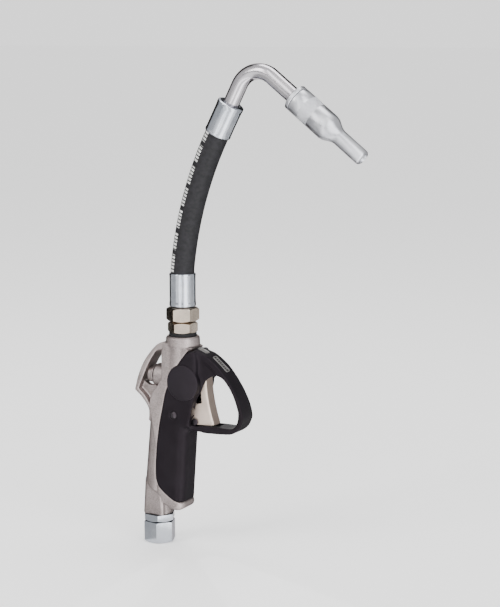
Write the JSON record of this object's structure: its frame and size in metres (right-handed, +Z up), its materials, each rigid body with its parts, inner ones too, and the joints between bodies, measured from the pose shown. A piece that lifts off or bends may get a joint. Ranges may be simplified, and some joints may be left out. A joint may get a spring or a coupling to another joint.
{
  "type": "dispensing nozzle",
  "caption": "Trigger-operated dispensing gun with a cast body, black covers and finger guard, a flexible hose spout, a bent tube and a shut-off tip.",
  "frame": {"origin": "centre of the inlet nut's open face", "axes": "+Z runs up the gun along the inlet axis, +X points from the hand towards the trigger guard and the spout's tip, +Y is across the gun"},
  "size_m": [0.2366, 0.0344, 0.457],
  "materials": {
    "zinc_bright": "bright zinc plate, satin",
    "cast_nickel": "cast light alloy with a fine blasted satin plate",
    "warm_nickel": "nickel plate, warm tone, semi-bright",
    "chrome_tube": "bright chrome plate",
    "steel_pin": "ground steel",
    "brass": "turned brass",
    "spring_steel": "drawn spring wire",
    "black_moulding": "black moulded nylon, fine matt texture",
    "cap_moulding": "black moulded nylon, smoother",
    "black_steel": "blackened steel",
    "label_grey": "satin label plate",
    "hose_rubber": "black rubber cover with a fabric-wrap print",
    "seal_rubber": "nitrile rubber",
    "strainer_mesh": "woven brass gauze"
  },
  "bodies": {
    "gun": {"inlet_washer": "seal_rubber", "inlet_swivel_body": "zinc_bright", "nut_retaining_ring": "spring_steel", "inlet_seal": "seal_rubber", "inlet_strainer": "strainer_mesh", "body_casting": "cast_nickel", "valve_rear_plug": "warm_nickel", "rear_plug_o_ring": "seal_rubber", "valve_spring": "spring_steel", "valve_seat": "brass", "stem_gland": "brass", "stem_o_ring": "seal_rubber", "trigger_pivot_pin": "steel_pin", "left_cover": "black_moulding", "right_cover": "black_moulding", "left_side_cap": "cap_moulding", "right_side_cap": "cap_moulding", "cover_screw": "black_steel", "cover_nut": "black_steel", "upper_label_plate": "label_grey", "lower_label_plate": "label_grey", "outlet_adapter": "warm_nickel", "outlet_seal_ring": "seal_rubber", "hose_nut": "warm_nickel"},
    "inlet_nut": {"inlet_nut": "zinc_bright"},
    "valve": {"valve_poppet": "brass", "valve_seal": "seal_rubber", "valve_stem": "steel_pin"},
    "trigger": {"trigger": "warm_nickel", "latch_pin": "black_steel"},
    "latch": {"hold_open_latch": "black_steel"},
    "spout_base": {"hose_tail": "zinc_bright", "lower_ferrule": "zinc_bright", "hose": "hose_rubber"},
    "spout_end": {"upper_hose_insert": "zinc_bright", "upper_ferrule": "zinc_bright", "spout_tube": "chrome_tube", "tip_collar": "chrome_tube", "tip_o_ring": "seal_rubber"},
    "tip_sleeve": {"tip_sleeve": "chrome_tube"},
    "tip_poppet": {"tip_poppet": "brass"}
  },
  "joints": [
    {"name": "inlet_swivel", "type": "hinge", "parent": "gun", "child": "inlet_nut", "pos_m": [0, 0, 0], "axis": [0, 0, 1], "continuous": true},
    {"name": "trigger_pull", "type": "hinge", "parent": "gun", "child": "trigger", "pos_m": [0.052, 0, 0.1781], "axis": [0, 1, 0], "range_deg": [0, 13], "stiffness_Nm_per_rad": 1.5, "springref_deg": -6.88},
    {"name": "valve_slide", "type": "slide", "parent": "gun", "child": "valve", "axis": [-1, 0, 0], "range_m": [0, 0.00345], "deforming": ["valve_spring"]},
    {"name": "latch_turn", "type": "hinge", "parent": "trigger", "child": "latch", "pos_m": [0.0448, 0, 0.1234], "axis": [0, 1, 0], "range_deg": [0, 30]},
    {"name": "spout_swivel", "type": "hinge", "parent": "gun", "child": "spout_base", "pos_m": [0.0277, 0, 0.26], "axis": [0, 0, 1], "continuous": true},
    {"name": "hose_flex", "type": "hinge", "parent": "spout_base", "child": "spout_end", "pos_m": [0.04034, 0, 0.32964], "axis": [0, 1, 0], "range_deg": [-20, 20], "stiffness_Nm_per_rad": 6, "springref_deg": -2.29, "deforming": ["hose"]},
    {"name": "tip_twist", "type": "hinge", "parent": "spout_end", "child": "tip_sleeve", "pos_m": [0.14396, 0, 0.42825], "axis": [0.7912, 0, -0.6115], "range_deg": [0, 90]},
    {"name": "poppet_slide", "type": "slide", "parent": "spout_end", "child": "tip_poppet", "axis": [0.7912, 0, -0.6115], "range_m": [0, 0.003]}
  ],
  "couplings": [
    {"joint": "valve_slide", "follows": "trigger_pull", "m_per_rad": 0.015},
    {"joint": "poppet_slide", "follows": "tip_twist", "m_per_rad": 0.0019}
  ]
}
